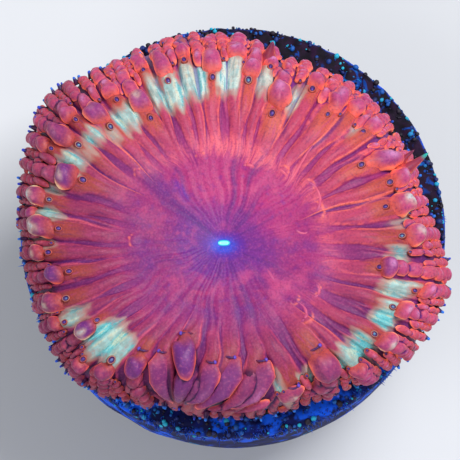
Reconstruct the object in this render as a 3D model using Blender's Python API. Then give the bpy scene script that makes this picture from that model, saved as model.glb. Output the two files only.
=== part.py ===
"""Single-polyp Blastomussa coral frag on a ceramic frag plug.

Metres, +Z up. The origin is the centre of the stem's flat end, on the plug's axis; +Y is the
side where the plug's top shows behind the coral. Two pieces: the moulded plug, and the coral,
which grew as one fleshy polyp over its own skeleton and is cut off flat where it meets the plug.
"""

import math

import bmesh
import bpy

MM = 0.001

# The plug: a 25 mm disc and its stem, moulded in one piece.
STEM_LENGTH = 9.0 * MM
STEM_END_RADIUS = 4.3 * MM
STEM_ROOT_RADIUS = 4.7 * MM
STEM_CHAMFER = 0.4 * MM
DISC_THICKNESS = 6.0 * MM
DISC_TOP_RADIUS = 12.5 * MM
DISC_BOTTOM_RADIUS = 12.0 * MM
DISC_EDGE_RADIUS = 0.6 * MM
EDGE_SEGMENTS = 3
PLUG_SIDES = 64
DISC_TOP = STEM_LENGTH + DISC_THICKNESS

# The coral. Its lobes radiate from the mouth, which sits in front of the plug's axis.
GLUE_GAP = 0.3 * MM
FOOT_HEIGHT = DISC_TOP + GLUE_GAP
MOUTH = (-0.5 * MM, -2.6 * MM)
LOBES = 48
COLUMNS_PER_LOBE = 4
BEAD_SWELL = 0.12 * MM

# How far the widest rim lies from the mouth, at bearings in degrees counted from +X towards +Y.
RIM = (
    (0, 12.8), (30, 12.4), (60, 12.8), (90, 13.2), (115, 13.3), (137, 13.9), (155, 13.0),
    (180, 11.7), (210, 11.1), (235, 10.1), (255, 9.4), (285, 9.5), (305, 10.0), (322, 11.2),
    (335, 12.3), (348, 12.8),
)

# The polyp's section from its cut foot, out under the overhanging rim, up over the beaded
# shoulder and in across the oral disc: share of the rim's reach, height above the foot in mm,
# and how deep the furrows between lobes are there in mm.
SECTION = (
    (0.80, 0.0, 0.00),
    (0.88, 0.3, 0.10),
    (0.96, 1.1, 0.25),
    (1.00, 2.1, 0.40),
    (0.99, 3.0, 0.45),
    (0.96, 3.9, 0.45),
    (0.92, 4.7, 0.45),
    (0.87, 5.4, 0.45),
    (0.81, 5.9, 0.45),
    (0.75, 6.3, 0.40),
    (0.68, 6.5, 0.30),
    (0.59, 6.5, 0.20),
    (0.49, 6.4, 0.12),
    (0.40, 6.4, 0.06),
    (0.28, 6.4, 0.03),
    (0.15, 6.3, 0.01),
    (0.05, 6.2, 0.00),
)
MOUTH_FLOOR = 5.9 * MM
BEADED_STATIONS = range(3, 10)


def clear_scene():
    for obj in list(bpy.data.objects):
        bpy.data.objects.remove(obj)


def surface(name, colour, roughness):
    """A plain Principled material of one colour."""
    material = bpy.data.materials.new(name)
    material.use_nodes = True
    shader = material.node_tree.nodes["Principled BSDF"]
    shader.inputs["Base Color"].default_value = (*colour, 1.0)
    shader.inputs["Roughness"].default_value = roughness
    shader.inputs["Metallic"].default_value = 0.0
    return material


def add_object(name, mesh, material):
    mesh.materials.append(material)
    obj = bpy.data.objects.new(name, mesh)
    bpy.context.scene.collection.objects.link(obj)
    mesh.shade_smooth()
    mesh.set_sharp_from_angle(angle=math.radians(40))
    return obj


def rounded_corner(before, corner, after, radius, segments):
    """Points of an arc-like bend that replaces a section's corner, starting and ending radius away."""

    def toward(target):
        run = (target[0] - corner[0], target[1] - corner[1])
        length = math.hypot(*run)
        return (corner[0] + run[0] * radius / length, corner[1] + run[1] * radius / length)

    start, end = toward(before), toward(after)
    points = []
    for i in range(segments + 1):
        t = i / segments
        a, b, c = (1 - t) ** 2, 2 * t * (1 - t), t * t
        points.append(tuple(a * s + b * k + c * e for s, k, e in zip(start, corner, end)))
    return points


def plug_section():
    """Half the plug's section as (radius, height), from the stem's end up to the disc's top."""
    stem_root = (STEM_ROOT_RADIUS, STEM_LENGTH)
    under_edge = (DISC_BOTTOM_RADIUS, STEM_LENGTH)
    top_edge = (DISC_TOP_RADIUS, DISC_TOP)
    section = [(STEM_END_RADIUS - STEM_CHAMFER, 0.0), (STEM_END_RADIUS, STEM_CHAMFER), stem_root]
    section += rounded_corner(stem_root, under_edge, top_edge, DISC_EDGE_RADIUS, EDGE_SEGMENTS)
    section += rounded_corner(under_edge, top_edge, (0.0, DISC_TOP), DISC_EDGE_RADIUS, EDGE_SEGMENTS)
    return section


def ring_around_axis(radius, height):
    return [
        (
            radius * math.cos(math.tau * i / PLUG_SIDES),
            radius * math.sin(math.tau * i / PLUG_SIDES),
            height,
        )
        for i in range(PLUG_SIDES)
    ]


def skin_rings(name, rings, end=None):
    """A closed mesh through rings of points, each bridged to the next. It starts with a flat face,
    and ends with another or, where an end point is given, with a fan of triangles that meet there."""
    bm = bmesh.new()
    loops = [[bm.verts.new(point) for point in ring] for ring in rings]
    count = len(loops[0])
    for lower, upper in zip(loops, loops[1:]):
        for i in range(count):
            j = (i + 1) % count
            bm.faces.new((lower[i], lower[j], upper[j], upper[i]))
    bm.faces.new(loops[0])
    if end is None:
        bm.faces.new(loops[-1])
    else:
        hub = bm.verts.new(end)
        for i in range(count):
            bm.faces.new((loops[-1][i], loops[-1][(i + 1) % count], hub))
    bmesh.ops.recalc_face_normals(bm, faces=bm.faces)
    mesh = bpy.data.meshes.new(name)
    bm.to_mesh(mesh)
    bm.free()
    return mesh


def rim_reach(bearing):
    """Distance from the mouth to the rim at a bearing in degrees, eased between the RIM points."""
    points = [(RIM[-1][0] - 360, RIM[-1][1]), *RIM, (RIM[0][0] + 360, RIM[0][1])]
    for (b0, r0), (b1, r1) in zip(points, points[1:]):
        if b0 <= bearing <= b1:
            t = (bearing - b0) / (b1 - b0)
            ease = (1 - math.cos(math.pi * t)) / 2
            return (r0 + (r1 - r0) * ease) * MM
    raise ValueError(f"bearing {bearing} is outside 0 to 360")


def polyp_ring(station):
    """One ring of the polyp: the rim's outline scaled to the station's share, pulled in at the
    furrows between lobes, and swollen at every other beaded station."""
    share, height, furrow = SECTION[station]
    swell = BEAD_SWELL * (-1) ** station if station in BEADED_STATIONS else 0.0
    columns = LOBES * COLUMNS_PER_LOBE
    ring = []
    for column in range(columns):
        angle = math.tau * column / columns
        crown = abs(math.cos(LOBES * angle / 2))
        relief = furrow * MM * (crown - 1) + swell * crown
        lean = share ** 2
        reach = rim_reach(math.degrees(angle)) * share + relief * lean
        ring.append(
            (
                MOUTH[0] + reach * math.cos(angle),
                MOUTH[1] + reach * math.sin(angle),
                FOOT_HEIGHT + height * MM + (relief * (1 - lean) if station else 0.0),
            )
        )
    return ring


def build_plug():
    rings = [ring_around_axis(radius, height) for radius, height in plug_section()]
    mesh = skin_rings("frag_plug", rings)
    return add_object("frag_plug", mesh, surface("crusted_ceramic", (0.03, 0.06, 0.22), 0.7))


def build_polyp():
    rings = [polyp_ring(station) for station in range(len(SECTION))]
    mouth_centre = (*MOUTH, FOOT_HEIGHT + MOUTH_FLOOR)
    mesh = skin_rings("coral_polyp", rings, end=mouth_centre)
    return add_object("coral_polyp", mesh, surface("polyp_flesh", (0.80, 0.17, 0.22), 0.35))


clear_scene()
build_plug()
build_polyp()
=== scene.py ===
"""A single-polyp Blastomussa coral on a ceramic frag plug, standing on the plug's stem.

Metres, +Z up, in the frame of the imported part. The pieces are made in the order in which they
came to be: the plug, what settled on it, then the polyp's flesh, vesicles, tentacles, mouth and
papillae. Bearings are degrees around the mouth, counted from +X towards +Y.
"""

import math
from types import SimpleNamespace

import bpy
import numpy as np
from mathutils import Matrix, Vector


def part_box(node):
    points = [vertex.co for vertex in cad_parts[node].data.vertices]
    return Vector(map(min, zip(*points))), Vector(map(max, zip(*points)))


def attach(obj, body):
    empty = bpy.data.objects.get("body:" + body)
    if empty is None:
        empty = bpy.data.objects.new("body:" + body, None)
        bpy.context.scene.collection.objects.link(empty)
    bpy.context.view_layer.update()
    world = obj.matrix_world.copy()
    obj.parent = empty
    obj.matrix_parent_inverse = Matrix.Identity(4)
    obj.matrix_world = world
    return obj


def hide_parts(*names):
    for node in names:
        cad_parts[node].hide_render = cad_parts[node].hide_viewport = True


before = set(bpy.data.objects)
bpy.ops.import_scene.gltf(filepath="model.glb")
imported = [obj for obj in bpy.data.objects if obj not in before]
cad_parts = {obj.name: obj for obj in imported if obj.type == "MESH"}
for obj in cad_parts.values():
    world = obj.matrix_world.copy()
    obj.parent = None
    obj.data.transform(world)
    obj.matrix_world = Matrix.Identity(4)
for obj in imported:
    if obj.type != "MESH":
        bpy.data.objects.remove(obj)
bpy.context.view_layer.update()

# ---- The frag plug ----
# Ceramic, pressed in one piece as a disc on a tapered stem and fired without a glaze. Months under
# water have left a thin navy film on it, with maroon coralline crust over its top and bright blue
# growth along the front edge.

MM = 0.001
plug_low, plug_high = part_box("frag_plug")
DISC_TOP = plug_high.z
DISC_THICKNESS = 6.0 * MM
STEM_LENGTH = DISC_TOP - DISC_THICKNESS
DISC_RADIUS = (plug_high.x - plug_low.x) / 2
DISC_DRAFT = 0.5 * MM
STEM_END_RADIUS = 4.3 * MM
STEM_ROOT_RADIUS = 4.7 * MM
STEM_CHAMFER = 0.4 * MM
EDGE_RADIUS = 0.6 * MM
PLUG_SIDES = 360
CRUST_DEPTH = 1.2 * MM
CRUST_ROUGHNESS = 0.10 * MM

scene = bpy.context.scene


def linear(colour):
    """An sRGB hex colour as linear red, green, blue and alpha, by the sRGB curve."""
    parts = [int(colour[i : i + 2], 16) / 255 for i in (1, 3, 5)]
    return (*(c / 12.92 if c <= 0.04045 else ((c + 0.055) / 1.055) ** 2.4 for c in parts), 1.0)


def add_node(tree, kind, inputs, output=0, **settings):
    """Adds one node with its settings, and returns one of its outputs. Each input takes a value, or
    a link from another node's output."""
    made = tree.nodes.new("ShaderNode" + kind)
    for name, value in settings.items():
        setattr(made, name, value)
    for key, value in inputs.items():
        if isinstance(value, bpy.types.NodeSocket):
            tree.links.new(value, made.inputs[key])
        else:
            made.inputs[key].default_value = value
    return made.outputs[output]


def lay(colour, *coats):
    """Lays coats over a colour in turn. Each has its own colour, a mask, the mask's values where it
    starts and where it is full, and the share of it that shows there, or else all of it. The
    colours are hex values, or links. The nodes join the mask's tree."""
    for coat, mask, low, high, *most in coats:
        tree = mask.id_data
        ends = {"Value": mask, "From Min": low, "From Max": high, "To Max": (*most, 1.0)[0]}
        share = add_node(tree, "MapRange", ends, interpolation_type="SMOOTHSTEP")
        under, over = (linear(c) if isinstance(c, str) else c for c in (colour, coat))
        colour = add_node(tree, "Mix", {0: share, 6: under, 7: over}, 2, data_type="RGBA")
    return colour


def start_finish(name, surface, *painted):
    """A Principled material with its constants set on its own sockets, its node tree, and links
    from the values painted on the points, by name."""
    finish = bpy.data.materials.new(name)
    finish.use_nodes = True
    tree = finish.node_tree
    for socket, value in surface.items():
        tree.nodes["Principled BSDF"].inputs[socket].default_value = value
    links = SimpleNamespace()
    for label in painted:
        setattr(links, label, add_node(tree, "Attribute", {}, "Fac", attribute_name=label))
    return finish, tree, links


def feed(socket, source):
    """Links a node's output to one of the shader's own sockets, in the same tree."""
    tree = source.id_data
    tree.links.new(source, tree.nodes["Principled BSDF"].inputs[socket])


def ripple(points, wavelength, seed):
    """A smooth random field at points: the mean of sine waves of one wavelength, each in a random
    direction with a random phase, scaled to about -1 to 1."""
    rng = np.random.default_rng(seed)
    directions = unit(rng.normal(size=(14, 3)))
    phases = rng.uniform(0, math.tau, 14)
    waves = np.sin(points @ directions.T * (math.tau / wavelength) + phases)
    return waves.sum(-1) / 4


def unit(vectors):
    """Each vector divided by its own length."""
    return vectors / np.linalg.norm(vectors, axis=-1, keepdims=True)


def circle(sides):
    """Equal turns around a circle, in radians."""
    return np.linspace(0, math.tau, sides, endpoint=False)


def set_down(name, data):
    """A new object in the scene, for a mesh, lamp or camera."""
    thing = bpy.data.objects.new(name, data)
    scene.collection.objects.link(thing)
    return thing


def build(name, rings, material, root=None, tip=None, **values):
    """One piece made of like surfaces: rings[k, i, j] is point j on ring i of surface k. Points run
    anticlockwise seen from the tip, and rings run from root to tip; each ring closes on itself, and
    a root or tip point for each surface closes that end with a fan. The values, given like the
    rings or to be stretched over them, are painted on the points by name."""
    count, rows, columns = rings.shape[:3]
    index = np.arange(count * rows * columns).reshape(count, rows, columns)
    beside = np.roll(index, -1, axis=2)
    quads = np.stack([index[:, :-1], beside[:, :-1], beside[:, 1:], index[:, 1:]], -1)
    faces = quads.reshape(-1, 4).tolist()
    points = [rings.reshape(-1, 3)]
    hubs = []
    for ends, ring, turn in ((root, 0, -1), (tip, -1, 1)):
        if ends is not None:
            hub = index.size + len(hubs) * count + np.arange(count)
            pair = (index[:, ring], beside[:, ring])[::turn]
            fan = np.stack([*pair, np.broadcast_to(hub[:, None], pair[0].shape)], -1)
            faces += fan.reshape(-1, 3).tolist()
            points.append(np.asarray(ends, float).reshape(-1, 3))
            hubs.append(ring)
    mesh = bpy.data.meshes.new(name)
    mesh.from_pydata(np.concatenate(points).tolist(), [], faces)
    mesh.shade_smooth()
    for label, value in values.items():
        full = np.broadcast_to(value, rings.shape[:3] + np.shape(value)[3:])
        ends = [full[:, ring].mean(axis=1) for ring in hubs]
        flat = np.concatenate([full.reshape(-1, *full.shape[3:]), *ends])
        kind, slot = ("FLOAT_VECTOR", "vector") if np.ndim(value) > 3 else ("FLOAT", "value")
        mesh.attributes.new(label, kind, "POINT").data.foreach_set(slot, flat.ravel())
    mesh.materials.append(material)
    return set_down(name, mesh)


def plug_profile():
    """Half the plug's section as (radius, height), from the stem's end up to the top's centre, with
    its two disc edges rounded by quarter circles. Its points lie closest over the crusted top."""
    bend = np.radians(np.linspace(0, 90, 6))
    turned_in, climbed = EDGE_RADIUS * (1 - np.sin(bend)), EDGE_RADIUS * (1 - np.cos(bend))
    climb = np.array((0.35, 0.7, 1.0))
    wall = np.linspace(0.16, 0.84, 18)
    bottom = DISC_RADIUS - DISC_DRAFT
    parts = (
        (1.5 * MM, 0.0),
        (STEM_END_RADIUS - STEM_CHAMFER, 0.0),
        (STEM_END_RADIUS, STEM_CHAMFER),
        (STEM_END_RADIUS + (STEM_ROOT_RADIUS - STEM_END_RADIUS) * climb, STEM_LENGTH * climb),
        (np.array((6.5, 8.5, 10.2)) * MM, STEM_LENGTH),
        (bottom - turned_in, STEM_LENGTH + climbed),
        (bottom + DISC_DRAFT * wall, STEM_LENGTH + DISC_THICKNESS * wall),
        (DISC_RADIUS - climbed, DISC_TOP - turned_in),
        (np.arange(11.6, 0.3, -0.3) * MM, DISC_TOP),
    )
    pairs = (np.broadcast_arrays(*np.atleast_1d(*part)) for part in parts)
    return np.concatenate([np.stack(pair, -1) for pair in pairs])


radius, height = plug_profile().T[..., None]
turn = circle(PLUG_SIDES)
plug_rings = np.broadcast_arrays(radius * np.cos(turn), radius * np.sin(turn), height)
plug_rings = np.stack(plug_rings, -1)[None]
crusted = np.clip((plug_rings[..., 2] - (DISC_TOP - CRUST_DEPTH)) / CRUST_DEPTH, 0, 1)
lumps = ripple(plug_rings, 1.1 * MM, 1) + 0.6 * ripple(plug_rings, 0.5 * MM, 2)
plug_rings[..., 2] += crusted * lumps * CRUST_ROUGHNESS
wall_share = np.clip(np.hypot(plug_rings[..., 0], plug_rings[..., 1]) / DISC_RADIUS, 0, 1) ** 8
plug_rings[..., :2] *= (1 + wall_share * 0.003 * ripple(plug_rings, 2.5 * MM, 3))[..., None]

# Unglazed ceramic under a film of algae and coralline crust: matt and mottled navy, with bright
# blue growth along the top edge, and near-black maroon crust over the top veined with blue.
plug_finish, tree, _ = start_finish(
    "filmed_ceramic", {"Roughness": 0.75, "Specular IOR Level": 0.2}
)
place = add_node(tree, "TexCoord", {}, "Object")
height = add_node(tree, "SeparateXYZ", {"Vector": place}, "Z")
ahead = height.node.outputs["Y"]
mottle, blotch, lines = (
    add_node(
        tree, "TexNoise", {"Vector": place, "Scale": scale, "Detail": detail, "Distortion": twist}
    )
    for scale, detail, twist in ((1500.0, 4.0, 0.0), (480.0, 4.0, 0.0), (900.0, 3.0, 1.5))
)
film = lay("#030a44", ("#061a78", mottle, 0.42, 0.72))
growth = lay(film, ("#0a5cf0", blotch, 0.46, 0.56))
growth = lay(film, (growth, mottle, 0.38, 0.54), ("#1c9ae0", lines, 0.66, 0.72))
film = lay(film, (growth, height, DISC_TOP - 2.6 * MM, DISC_TOP - 0.9 * MM))
crust = lay(
    "#0e0618",
    ("#260a2e", mottle, 0.4, 0.66),
    ("#07409a", lines, 0.56, 0.64),
    ("#0a86c0", lines, 0.67, 0.72),
)
surface = lay(film, (crust, height, DISC_TOP - 0.5 * MM, DISC_TOP - 0.1 * MM))
feed("Base Color", lay(growth, (surface, ahead, -9.0 * MM, -5.0 * MM)))
feed("Normal", add_node(tree, "Bump", {"Height": mottle, "Strength": 0.6, "Distance": 0.12 * MM}))

plug = build("frag_plug_body", plug_rings, plug_finish, root=[(0, 0, 0)], tip=[(0, 0, DISC_TOP)])
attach(plug, "root")
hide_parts("frag_plug")

# ---- The specks on the plug ----
# Knobs of coralline crust and young sponge, 0.1 to 0.5 mm across, which settled on the rough top
# and round its edge. Some are bright blue or cyan, more of them near the edge.

KNOBS = 2600
KNOB_SIZE = (0.045 * MM, 0.20 * MM)
KNOB_ZONE = (9.2 * MM, DISC_RADIUS + 1.4 * MM)
UP = np.array((0, 0, 1))


def heading(turn):
    """The level unit vector at each turn around the axis."""
    return np.stack([np.cos(turn), np.sin(turn), np.zeros(np.shape(turn))], -1)


def domes(centre, axes, size, polar, around):
    """Domes with half sizes size along three axes. Ring i is a circle at polar angle polar[i] from
    the crown, stretched with the dome."""
    plan = [level * np.sin(polar)[:, None] for level in (np.cos(around), np.sin(around))]
    rise = np.cos(polar)[:, None] * np.ones_like(around)
    return centre[:, None, None] + sum(
        axis[:, None, None] * (half[:, None, None] * offset)[..., None]
        for axis, offset, half in zip(axes, (*plan, rise), size.T)
    )


rng = np.random.default_rng(21)
turn = rng.uniform(0, math.tau, KNOBS)
span = KNOB_ZONE[0] + (KNOB_ZONE[1] - KNOB_ZONE[0]) * rng.uniform(0, 1, KNOBS) ** 0.8
drop = np.maximum(span - DISC_RADIUS + 0.1 * MM, 0)
radial = np.minimum(span, DISC_RADIUS - 0.12 * MM)
spin = heading(turn)
knob_at = spin * radial[:, None] + UP * (DISC_TOP - drop)[:, None]
facing = unit(spin * np.clip(drop / (0.5 * MM), 0, 1)[:, None] + 0.35 * UP)
knob_side = np.cross(UP, spin)
knob_out = np.cross(knob_side, facing)
lengths = KNOB_SIZE[0] + (KNOB_SIZE[1] - KNOB_SIZE[0]) * rng.uniform(0, 1, KNOBS) ** 3
knob_size = np.stack([lengths * rng.uniform(0.8, 1.3, KNOBS), lengths, lengths * 0.8], -1)
knob_polar = np.radians([100, 66, 32])
clump = 0.25 * ripple(knob_at, 2.2 * MM, 24)
glow = (rng.uniform(0, 1, KNOBS) + clump) * np.clip((radial - 10.4 * MM) / (1.4 * MM), 0.3, 1)

# The same matt crust, near black, turning navy, blue and then cyan as each knob's glow value rises.
knob_finish, tree, on = start_finish("coralline_crust", {"Roughness": 0.6}, "glow")
place = add_node(tree, "TexCoord", {}, "Object")
mottle = add_node(tree, "TexNoise", {"Vector": place, "Scale": 3500.0, "Detail": 2.0})
tint = lay(
    "#160822",
    ("#082878", on.glow, 0.2, 0.45),
    ("#0a5cb8", on.glow, 0.45, 0.65),
    ("#18b4d8", on.glow, 0.65, 0.85),
    ("#10103a", mottle, 0.5, 0.8, 0.6),
)
feed("Base Color", tint)
feed("Normal", add_node(tree, "Bump", {"Height": mottle, "Strength": 0.5, "Distance": 0.05 * MM}))

knobs = build(
    "crust_knobs",
    domes(knob_at, (knob_out, knob_side, facing), knob_size, knob_polar, circle(7)),
    knob_finish,
    root=knob_at - facing * (0.3 * knob_size[:, 2:]),
    tip=knob_at + facing * knob_size[:, 2:],
    glow=glow[:, None, None],
)
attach(knobs, "root")

# ---- The turf on the plug ----
# Short tufts of filamentous algae, each thread a fraction of a millimetre long. They stand along
# the front edge of the disc, where the polyp leaves it in the light.

TURF_TUFTS = 150
THREADS_PER_TUFT = 6
THREAD_LENGTH = 0.38 * MM
THREAD_RADIUS = 0.035 * MM
FRONT = -90.0


def tubes(path, radius, hint, sides):
    """Round tubes carried along path[k, i]: each ring lies square to its path with its own radius,
    and its first corner is turned towards the tube's hint direction."""
    run = unit(np.gradient(path, axis=1))
    hint = np.broadcast_to(hint, path[:, 0].shape)[:, None]
    first = unit(hint - run * (hint * run).sum(-1, keepdims=True))
    second = np.cross(run, first)
    turn = circle(sides)[:, None]
    ring = first[:, :, None] * np.cos(turn) + second[:, :, None] * np.sin(turn)
    return path[:, :, None] + ring * np.broadcast_to(radius, path.shape[:2])[..., None, None]


rng = np.random.default_rng(22)
tuft_turn = np.radians(rng.normal(FRONT, 38, TURF_TUFTS))
tuft_drop = rng.uniform(-0.4, 1.5, TURF_TUFTS) * MM
turn = np.repeat(tuft_turn, THREADS_PER_TUFT) + rng.normal(0, 0.012, TURF_TUFTS * THREADS_PER_TUFT)
drop = (np.repeat(tuft_drop, THREADS_PER_TUFT) + rng.normal(0, 0.08 * MM, turn.size))[:, None]
spin = heading(turn)
thread_foot = spin * (DISC_RADIUS - 0.1 * MM + np.minimum(drop, 0))
thread_foot = thread_foot + UP * (DISC_TOP - np.maximum(drop, 0) - 0.05 * MM)
grow = spin * rng.uniform(0.1, 0.8, drop.shape) + UP * rng.uniform(0.4, 1.0, drop.shape)
grow += rng.normal(0, 0.25, grow.shape)
length = THREAD_LENGTH * rng.uniform(0.5, 1.3, drop.shape)
steps = np.linspace(0, 0.9, 4)
path = thread_foot[:, None] + grow[:, None] * (steps * length)[..., None]
path -= UP * (0.35 * steps**2 * length)[..., None]

# Living algae: thin, soft and slightly glossy when wet, vivid blue here.
turf_finish, tree, on = start_finish("filamentous_algae", {"Roughness": 0.5}, "shade")
tint = lay("#0b2d9c", ("#0a58e0", on.shade, 0.1, 0.6), ("#3aa0ee", on.shade, 0.75, 1.0))
feed("Base Color", tint)

turf = build(
    "plug_turf",
    tubes(path, THREAD_RADIUS * (1.15 - steps), spin, 4),
    turf_finish,
    root=thread_foot,
    tip=thread_foot + grow * length - UP * (0.4 * length),
    shade=steps[:, None] * rng.uniform(0.3, 1.2, (turn.size, 1, 1)),
)
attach(turf, "root")


# ---- The polyp's flesh ----
# One soft, thick tissue over the hidden skeleton. It grips the plug's top with its foot, bulges out
# over the plug's edge, and folds into rows that run in to the smooth oral disc around the mouth.

MOUTH = np.array([-0.5, -2.6]) * MM
FORWARD_LEAN = 0.27
CROWN = 6.4 * MM
SIDE_STRETCH = 1.035
SKIN_COLUMNS = 960

# The rim's reach from the mouth in mm, every ten degrees from +X towards +Y.
REACH = (
    12.6, 12.0, 11.9, 11.95, 12.0, 11.8, 11.75, 11.4, 11.95, 12.15, 12.4, 12.3,
    12.35, 12.8, 13.45, 13.05, 12.5, 12.1, 11.75, 11.5, 11.5, 11.6, 11.6, 11.15,
    10.6, 9.85, 9.95, 10.0, 10.1, 10.25, 10.45, 11.0, 11.7, 12.65, 13.0, 13.3,
)

# The flesh's section from the mouth out over the rim and in to the foot: share of the reach, and
# height over the plug in mm.
SECTION = (
    (0.00, 5.80), (0.03, 5.92), (0.08, 6.05), (0.20, 6.20), (0.35, 6.30), (0.50, 6.40),
    (0.62, 6.45), (0.71, 6.30), (0.79, 5.95), (0.86, 5.35), (0.92, 4.55), (0.96, 3.70),
    (0.98, 2.85), (0.98, 2.00), (0.96, 1.25), (0.92, 0.60), (0.85, 0.15), (0.78, 0.00),
)

# Steps along the section are measured at a usual reach in mm. The whole way counts as
# SECTION_LENGTH where a length becomes a share of it, and way_at looks no further than TOP_END.
USUAL_REACH = 12.0
SECTION_LENGTH = 20.3 * MM
TOP_END = 0.66

# Each main row of vesicles starts at its leading one: its bearing at its inner and outer end, how
# far it starts and ends from the mouth in mm, its width in mm, and how pale and how violet its
# crown and how pale its tentacle's lip is.
LEADS = (
    (2.0, 2.5, 10.1, 11.2, 1.20, 0.7, 0.0, 1.0),
    (12.5, 12.0, 9.4, 10.8, 1.35, 0.8, 0.0, 0.1),
    (20.0, 20.5, 10.0, 11.4, 1.15, 0.3, 0.2, 0.2),
    (29.5, 25.5, 9.0, 11.2, 1.15, 0.0, 0.5, 0.6),
    (38.5, 38.0, 10.1, 11.3, 0.95, 0.2, 0.1, 0.4),
    (45.5, 45.5, 10.8, 11.9, 1.10, 0.2, 0.1, 0.4),
    (51.0, 51.5, 9.4, 11.0, 1.15, 0.0, 0.2, 0.1),
    (60.0, 60.0, 10.1, 11.1, 0.95, 0.0, 0.1, 0.3),
    (69.5, 69.5, 7.9, 9.6, 1.45, 0.1, 0.3, 0.3),
    (75.5, 75.5, 10.4, 11.7, 0.85, 0.0, 0.2, 0.3),
    (81.5, 80.5, 9.4, 10.5, 1.05, 0.2, 0.1, 1.0),
    (86.0, 86.5, 11.2, 12.0, 1.10, 0.0, 0.2, 0.5),
    (94.0, 94.0, 9.5, 10.9, 1.10, 0.2, 0.1, 0.5),
    (102.3, 102.3, 10.7, 11.6, 0.85, 0.0, 0.1, 0.1),
    (109.0, 109.5, 9.8, 11.3, 1.05, 0.1, 0.3, 0.2),
    (115.0, 115.0, 10.9, 11.8, 0.85, 0.0, 0.1, 0.3),
    (120.5, 121.0, 8.3, 9.9, 1.15, 0.5, 0.5, 0.6),
    (127.0, 127.0, 10.2, 11.1, 0.95, 0.0, 0.0, 0.2),
    (134.5, 135.0, 9.3, 10.9, 1.15, 0.2, 0.6, 0.9),
    (140.3, 140.5, 11.0, 11.8, 0.90, 0.0, 0.1, 0.5),
    (146.0, 146.5, 10.0, 11.8, 1.10, 0.2, 0.4, 1.0),
    (151.2, 151.2, 11.2, 12.6, 0.85, 0.0, 0.0, 0.1),
    (156.0, 158.0, 8.8, 10.3, 1.45, 0.5, 0.8, 0.4),
    (166.0, 165.5, 10.2, 11.4, 1.10, 0.8, 0.3, 0.9),
    (171.0, 171.0, 11.3, 11.8, 0.70, 0.0, 0.2, 0.1),
    (175.0, 174.5, 9.4, 10.9, 1.25, 0.8, 0.4, 0.4),
    (183.0, 183.0, 9.9, 10.9, 0.95, 0.6, 0.1, 0.1),
    (190.5, 190.5, 8.9, 10.1, 1.05, 0.0, 0.8, 0.4),
    (199.5, 199.0, 9.4, 10.8, 1.15, 0.5, 0.3, 0.8),
    (206.5, 205.0, 10.0, 11.3, 0.90, 0.0, 0.0, 0.1),
    (211.5, 212.5, 8.4, 9.7, 0.95, 0.7, 1.0, 0.3),
    (317.5, 317.0, 10.4, 11.4, 1.15, 0.0, 0.0, 0.8),
    (329.0, 329.0, 9.9, 11.0, 1.20, 0.6, 0.1, 0.9),
    (339.3, 340.0, 10.2, 11.1, 1.10, 0.3, 0.0, 0.9),
    (346.0, 347.5, 11.1, 12.0, 0.90, 0.0, 0.0, 0.1),
    (351.0, 352.0, 9.0, 9.9, 1.20, 0.0, 0.6, 0.3),
)

# The rows at the front drift towards a cleft, and their leading vesicles are long folds. After the
# same eight values come the row's bearing at the rim, how far the fold bows sideways in degrees,
# and how it widens outwards.
FRONT_LEADS = (
    (219.5, 220.5, 10.2, 11.3, 0.95, 0.0, 0.0, 0.1, 224.0, 0.0, 0.0),
    (226.0, 227.5, 9.1, 10.2, 1.00, 0.0, 0.3, 0.8, 231.0, 0.0, 0.0),
    (233.0, 235.0, 7.5, 9.1, 1.10, 0.0, 0.8, 0.3, 244.0, 0.0, 0.0),
    (240.6, 251.6, 7.0, 9.8, 0.98, 0.0, 0.5, 0.3, 252.0, -1.8, -0.48),
    (247.6, 254.0, 5.5, 7.9, 1.35, 0.0, 1.0, 0.3, 253.5, 0.0, 0.0),
    (263.8, 256.9, 6.7, 9.8, 1.12, 0.0, 0.6, 0.2, 258.0, 2.6, -0.50),
    (273.0, 260.8, 6.4, 9.8, 1.32, 0.0, 0.7, 0.2, 262.5, 4.0, -0.52),
    (287.8, 271.6, 6.9, 9.85, 1.24, 0.1, 0.5, 0.2, 274.5, 4.6, -0.46),
    (296.0, 292.5, 8.9, 10.3, 1.40, 0.6, 0.3, 0.5, 290.0, 0.8, -0.20),
    (311.0, 308.5, 7.8, 9.7, 1.50, 0.0, 0.4, 0.2, 304.5, 0.0, 0.0),
)

# Where the green fluorescent pigment shows: from and to bearing, nearest and furthest distance
# from the mouth in mm, and its strength.
GREEN_PATCHES = (
    (4.5, 8.5, 9.6, 11.15, 0.55),
    (39.5, 43.5, 9.4, 11.15, 0.6),
    (61.0, 66.5, 8.5, 10.35, 0.7),
    (71.0, 79.0, 8.9, 10.35, 1.0),
    (84.0, 92.5, 8.7, 11.05, 1.0),
    (95.5, 105.5, 8.5, 10.75, 1.0),
    (105.0, 112.0, 8.1, 10.35, 1.0),
    (111.0, 117.0, 8.5, 10.45, 0.95),
    (123.5, 132.5, 8.5, 9.9, 1.0),
    (132.5, 138.5, 8.4, 9.4, 0.55),
    (137.0, 143.5, 9.1, 10.35, 0.95),
    (143.0, 148.0, 9.0, 9.8, 0.55),
    (147.5, 156.0, 9.2, 10.6, 1.0),
    (159.5, 164.5, 9.8, 11.15, 0.55),
    (168.0, 173.0, 9.4, 11.0, 0.9),
    (178.0, 182.0, 9.8, 11.05, 0.5),
    (202.5, 209.0, 8.6, 10.25, 0.8),
    (213.0, 229.0, 7.5, 9.75, 1.0),
    (277.0, 281.0, 8.1, 9.35, 0.45),
    (289.0, 293.5, 8.1, 9.75, 0.7),
    (298.0, 304.5, 8.7, 10.05, 0.95),
    (312.5, 327.5, 9.0, 10.85, 1.0),
    (331.0, 341.5, 9.5, 11.0, 1.0),
    (342.0, 348.5, 9.4, 11.15, 1.0),
    (353.5, 359.5, 9.4, 10.85, 0.7),
)

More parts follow.
